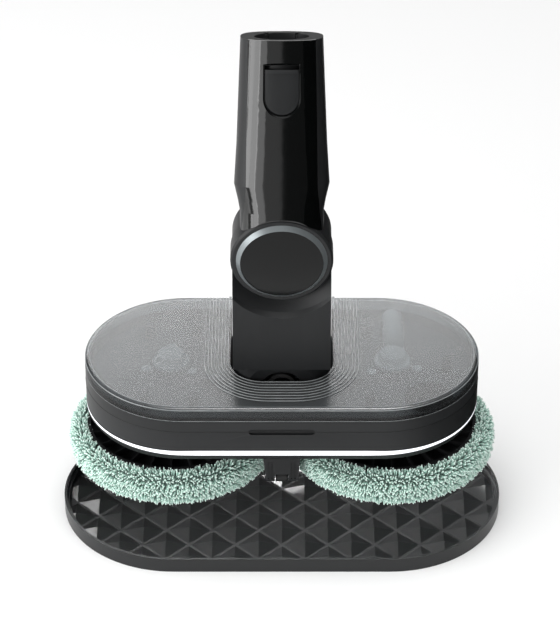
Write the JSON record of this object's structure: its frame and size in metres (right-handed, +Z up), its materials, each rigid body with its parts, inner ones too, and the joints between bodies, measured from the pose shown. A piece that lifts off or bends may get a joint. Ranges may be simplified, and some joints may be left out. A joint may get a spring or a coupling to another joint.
{
  "type": "floor scrubber head",
  "caption": "Floor scrubber head with spinning microfibre pads, clip-on clear water tank, light strip, tilting swivelling neck with handle socket, and a ridged storage tray.",
  "frame": {"origin": "centre of the storage tray's underside, on the floor", "axes": "+Z up, front of the head faces -Y, +X to the right as seen from the front"},
  "size_m": [0.32, 0.166, 0.3818],
  "materials": {
    "tray_plastic": "moulded black polypropylene with a fine texture",
    "shell_black": "fine-textured black ABS",
    "gloss_black": "polished black ABS",
    "smoked_clear": "smoked clear polycarbonate",
    "led_white": "white light diffuser",
    "trim_satin": "satin grey painted trim",
    "rubber_black": "soft black rubber",
    "steel": "plain steel",
    "motor_steel": "zinc-plated motor can",
    "nylon": "natural nylon",
    "board_green": "circuit board",
    "contact_brass": "brass contacts",
    "hose_clear": "milky silicone hose",
    "microfibre_mint": "mint green looped microfibre pile",
    "loop_backing": "grey woven loop backing"
  },
  "bodies": {
    "tray": {"storage_tray": "tray_plastic", "tray_feet": "rubber_black"},
    "head": {"base_upper_shell": "shell_black", "base_bottom_cover": "shell_black", "led_light_bar": "led_white", "led_board": "board_green", "control_board": "board_green", "water_pump": "shell_black", "pump_hoses": "hose_clear", "drip_nozzles": "nylon", "tank_inlet": "shell_black", "pivot_brackets": "nylon", "pivot_pin": "steel", "roller_fork": "shell_black", "roller_axle": "steel", "base_screws": "steel", "tank_catch": "nylon", "left_motor": "motor_steel", "left_gearbox_plate": "nylon", "left_spindle_bearing": "steel", "right_motor": "motor_steel", "right_gearbox_plate": "nylon", "right_spindle_bearing": "steel"},
    "left_pad": {"left_spindle": "steel", "left_drive_gear": "nylon", "left_pad_plate": "shell_black", "left_pad_backing": "loop_backing", "left_pad_pile": "microfibre_mint"},
    "right_pad": {"right_spindle": "steel", "right_drive_gear": "nylon", "right_pad_plate": "shell_black", "right_pad_backing": "loop_backing", "right_pad_pile": "microfibre_mint"},
    "left_pinion": {"left_motor_pinion": "steel"},
    "right_pinion": {"right_motor_pinion": "steel"},
    "roller": {"support_roller": "rubber_black"},
    "tank": {"tank_lower_shell": "shell_black", "tank_cover": "smoked_clear", "tank_seal": "rubber_black", "tank_valve": "nylon", "tank_posts": "smoked_clear"},
    "filler": {"filler_cap": "rubber_black"},
    "neck": {"neck_front_shell": "shell_black", "neck_rear_shell": "shell_black", "neck_grommet": "rubber_black", "swivel_bush": "nylon", "neck_screws": "steel"},
    "tube": {"tube_front_shell": "shell_black", "tube_rear_shell": "shell_black", "tube_front_plate": "gloss_black", "latch_bezel": "gloss_black", "latch_spring": "steel", "socket_liner": "shell_black", "contact_pins": "shell_black", "swivel_hub": "nylon", "swivel_retainer": "nylon", "swivel_trim_ring": "trim_satin", "swivel_cap": "gloss_black", "tube_screws": "steel"},
    "latch": {"latch_button": "shell_black"}
  },
  "joints": [
    {"name": "head_lift", "type": "slide", "parent": "tray", "child": "head", "axis": [0, 0, 1], "range_m": [-0.0445, 0.06]},
    {"name": "left_pad_spin", "type": "hinge", "parent": "head", "child": "left_pad", "pos_m": [-0.0785, 0, 0.07], "axis": [0, 0, 1], "continuous": true},
    {"name": "right_pad_spin", "type": "hinge", "parent": "head", "child": "right_pad", "pos_m": [0.0785, 0, 0.07], "axis": [0, 0, 1], "continuous": true},
    {"name": "left_pinion_spin", "type": "hinge", "parent": "head", "child": "left_pinion", "pos_m": [-0.116, 0, 0.095], "axis": [0, 0, 1], "continuous": true},
    {"name": "right_pinion_spin", "type": "hinge", "parent": "head", "child": "right_pinion", "pos_m": [0.116, 0, 0.095], "axis": [0, 0, 1], "continuous": true},
    {"name": "roller_spin", "type": "hinge", "parent": "head", "child": "roller", "pos_m": [0, -0.046, 0.058], "axis": [1, 0, 0], "continuous": true},
    {"name": "tank_lift", "type": "slide", "parent": "head", "child": "tank", "axis": [0, 0, 1], "range_m": [0, 0.007]},
    {"name": "filler_turn", "type": "hinge", "parent": "tank", "child": "filler", "pos_m": [0.104, -0.034, 0.117], "axis": [0, 0, 1], "range_deg": [0, 60]},
    {"name": "neck_tilt", "type": "hinge", "parent": "head", "child": "neck", "pos_m": [0, 0.004, 0.1085], "axis": [-1, 0, 0], "range_deg": [0, 80]},
    {"name": "tube_swivel", "type": "hinge", "parent": "neck", "child": "tube", "pos_m": [0, -0.038, 0.2333], "axis": [0, -0.9925, -0.1219], "range_deg": [-50, 50]},
    {"name": "latch_press", "type": "slide", "parent": "tube", "child": "latch", "axis": [0, 0.9336, -0.3584], "range_m": [0, 0.0014], "stiffness_N_per_m": 900, "springref_m": -0.0004}
  ],
  "couplings": [
    {"joint": "left_pinion_spin", "follows": "left_pad_spin", "ratio": -3},
    {"joint": "right_pinion_spin", "follows": "right_pad_spin", "ratio": -3}
  ]
}
